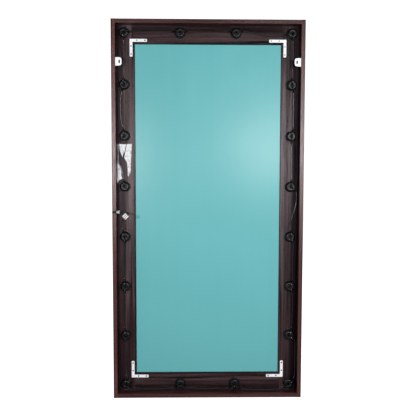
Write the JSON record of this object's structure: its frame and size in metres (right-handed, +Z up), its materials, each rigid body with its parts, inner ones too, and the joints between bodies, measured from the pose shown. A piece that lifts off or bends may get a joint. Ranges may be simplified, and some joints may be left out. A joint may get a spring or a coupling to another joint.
{
  "type": "lighted dressing mirror",
  "caption": "Tall dressing mirror in a dark wooden box frame with globe bulbs round its edge, wired at the open back, with hanger plates for a wall.",
  "frame": {"origin": "middle of the foot, on the floor, halfway between the front of the face boards and the rear edges of the rails", "axes": "+Z up, +X to the right of a person who looks into the mirror, -Y out of the mirror's face, +Y towards the wall"},
  "size_m": [0.857, 0.1515, 1.702],
  "materials": {
    "rail_wood": "dark brown stained wood, satin, reddish on the rear edges",
    "board_wood": "dark brown stained wood with a satin lacquer",
    "dowel_wood": "plain beech",
    "mirror": "silvered glass",
    "backing": "smooth blue-green sheet, soft sheen",
    "bead": "dark brown, satin",
    "white_metal": "white paint, smooth",
    "screw": "zinc plated",
    "holder_black": "black moulded resin, satin",
    "ceramic": "unglazed porcelain",
    "brass": "bright",
    "flex": "black, slightly glossy",
    "white_plastic": "white moulded plastic",
    "pale_plastic": "pale bluish plastic, slightly translucent",
    "bush": "black rubber",
    "paper": "white paper, torn",
    "bulb": "opal globe, satin, on a nickel plated cap"
  },
  "bodies": {
    "frame": {"side_rail_left": "rail_wood", "side_rail_right": "rail_wood", "top_rail": "rail_wood", "bottom_rail": "rail_wood", "face_stile_left": "board_wood", "face_stile_right": "board_wood", "face_rail_top": "board_wood", "face_rail_bottom": "board_wood", "joint_dowels": "dowel_wood", "mirror_glass": "mirror", "safety_backing": "backing", "bead_left": "bead", "bead_right": "bead", "bead_top": "bead", "bead_bottom": "bead", "corner_brace_top_left": "white_metal", "corner_brace_top_right": "white_metal", "corner_brace_bottom_left": "white_metal", "corner_brace_bottom_right": "white_metal", "brace_screws": "screw", "hanger_plate_left": "white_metal", "hanger_plate_right": "white_metal", "hanger_screws": "screw", "holder_skirts": "holder_black", "holder_caps": "holder_black", "shade_rings": "holder_black", "contact_discs": "ceramic", "screw_shells": "brass", "contacts": "brass", "wiring_top": "flex", "wiring_right": "flex", "wiring_bottom": "flex", "wiring_left": "flex", "supply_lead": "flex", "terminal_block": "white_plastic", "terminal_sleeves": "brass", "terminal_screws": "screw", "cord_bush": "bush", "cord_grip": "pale_plastic", "torn_label": "paper"},
    "bulb_01": {"bulb_01": "bulb"},
    "bulb_02": {"bulb_02": "bulb"},
    "bulb_03": {"bulb_03": "bulb"},
    "bulb_04": {"bulb_04": "bulb"},
    "bulb_05": {"bulb_05": "bulb"},
    "bulb_06": {"bulb_06": "bulb"},
    "bulb_07": {"bulb_07": "bulb"},
    "bulb_08": {"bulb_08": "bulb"},
    "bulb_09": {"bulb_09": "bulb"},
    "bulb_10": {"bulb_10": "bulb"},
    "bulb_11": {"bulb_11": "bulb"},
    "bulb_12": {"bulb_12": "bulb"},
    "bulb_13": {"bulb_13": "bulb"},
    "bulb_14": {"bulb_14": "bulb"},
    "bulb_15": {"bulb_15": "bulb"},
    "bulb_16": {"bulb_16": "bulb"},
    "bulb_17": {"bulb_17": "bulb"},
    "bulb_18": {"bulb_18": "bulb"},
    "bulb_19": {"bulb_19": "bulb"},
    "bulb_20": {"bulb_20": "bulb"}
  },
  "joints": [
    {"name": "bulb_01_turn", "type": "hinge", "parent": "frame", "child": "bulb_01", "pos_m": [-0.376, -0.0375, 1.6495], "axis": [0, -1, 0], "range_deg": [0, 1260]},
    {"name": "bulb_02_turn", "type": "hinge", "parent": "frame", "child": "bulb_02", "pos_m": [-0.12533, -0.0375, 1.6495], "axis": [0, -1, 0], "range_deg": [0, 1260]},
    {"name": "bulb_03_turn", "type": "hinge", "parent": "frame", "child": "bulb_03", "pos_m": [0.12533, -0.0375, 1.6495], "axis": [0, -1, 0], "range_deg": [0, 1260]},
    {"name": "bulb_04_turn", "type": "hinge", "parent": "frame", "child": "bulb_04", "pos_m": [0.376, -0.0375, 1.6495], "axis": [0, -1, 0], "range_deg": [0, 1260]},
    {"name": "bulb_05_turn", "type": "hinge", "parent": "frame", "child": "bulb_05", "pos_m": [0.376, -0.0375, 1.42136], "axis": [0, -1, 0], "range_deg": [0, 1260]},
    {"name": "bulb_06_turn", "type": "hinge", "parent": "frame", "child": "bulb_06", "pos_m": [0.376, -0.0375, 1.19321], "axis": [0, -1, 0], "range_deg": [0, 1260]},
    {"name": "bulb_07_turn", "type": "hinge", "parent": "frame", "child": "bulb_07", "pos_m": [0.376, -0.0375, 0.96507], "axis": [0, -1, 0], "range_deg": [0, 1260]},
    {"name": "bulb_08_turn", "type": "hinge", "parent": "frame", "child": "bulb_08", "pos_m": [0.376, -0.0375, 0.73693], "axis": [0, -1, 0], "range_deg": [0, 1260]},
    {"name": "bulb_09_turn", "type": "hinge", "parent": "frame", "child": "bulb_09", "pos_m": [0.376, -0.0375, 0.50879], "axis": [0, -1, 0], "range_deg": [0, 1260]},
    {"name": "bulb_10_turn", "type": "hinge", "parent": "frame", "child": "bulb_10", "pos_m": [0.376, -0.0375, 0.28064], "axis": [0, -1, 0], "range_deg": [0, 1260]},
    {"name": "bulb_11_turn", "type": "hinge", "parent": "frame", "child": "bulb_11", "pos_m": [0.376, -0.0375, 0.0525], "axis": [0, -1, 0], "range_deg": [0, 1260]},
    {"name": "bulb_12_turn", "type": "hinge", "parent": "frame", "child": "bulb_12", "pos_m": [0.12533, -0.0375, 0.0525], "axis": [0, -1, 0], "range_deg": [0, 1260]},
    {"name": "bulb_13_turn", "type": "hinge", "parent": "frame", "child": "bulb_13", "pos_m": [-0.12533, -0.0375, 0.0525], "axis": [0, -1, 0], "range_deg": [0, 1260]},
    {"name": "bulb_14_turn", "type": "hinge", "parent": "frame", "child": "bulb_14", "pos_m": [-0.376, -0.0375, 0.0525], "axis": [0, -1, 0], "range_deg": [0, 1260]},
    {"name": "bulb_15_turn", "type": "hinge", "parent": "frame", "child": "bulb_15", "pos_m": [-0.376, -0.0375, 0.28064], "axis": [0, -1, 0], "range_deg": [0, 1260]},
    {"name": "bulb_16_turn", "type": "hinge", "parent": "frame", "child": "bulb_16", "pos_m": [-0.376, -0.0375, 0.50879], "axis": [0, -1, 0], "range_deg": [0, 1260]},
    {"name": "bulb_17_turn", "type": "hinge", "parent": "frame", "child": "bulb_17", "pos_m": [-0.376, -0.0375, 0.73693], "axis": [0, -1, 0], "range_deg": [0, 1260]},
    {"name": "bulb_18_turn", "type": "hinge", "parent": "frame", "child": "bulb_18", "pos_m": [-0.376, -0.0375, 0.96507], "axis": [0, -1, 0], "range_deg": [0, 1260]},
    {"name": "bulb_19_turn", "type": "hinge", "parent": "frame", "child": "bulb_19", "pos_m": [-0.376, -0.0375, 1.19321], "axis": [0, -1, 0], "range_deg": [0, 1260]},
    {"name": "bulb_20_turn", "type": "hinge", "parent": "frame", "child": "bulb_20", "pos_m": [-0.376, -0.0375, 1.42136], "axis": [0, -1, 0], "range_deg": [0, 1260]}
  ]
}
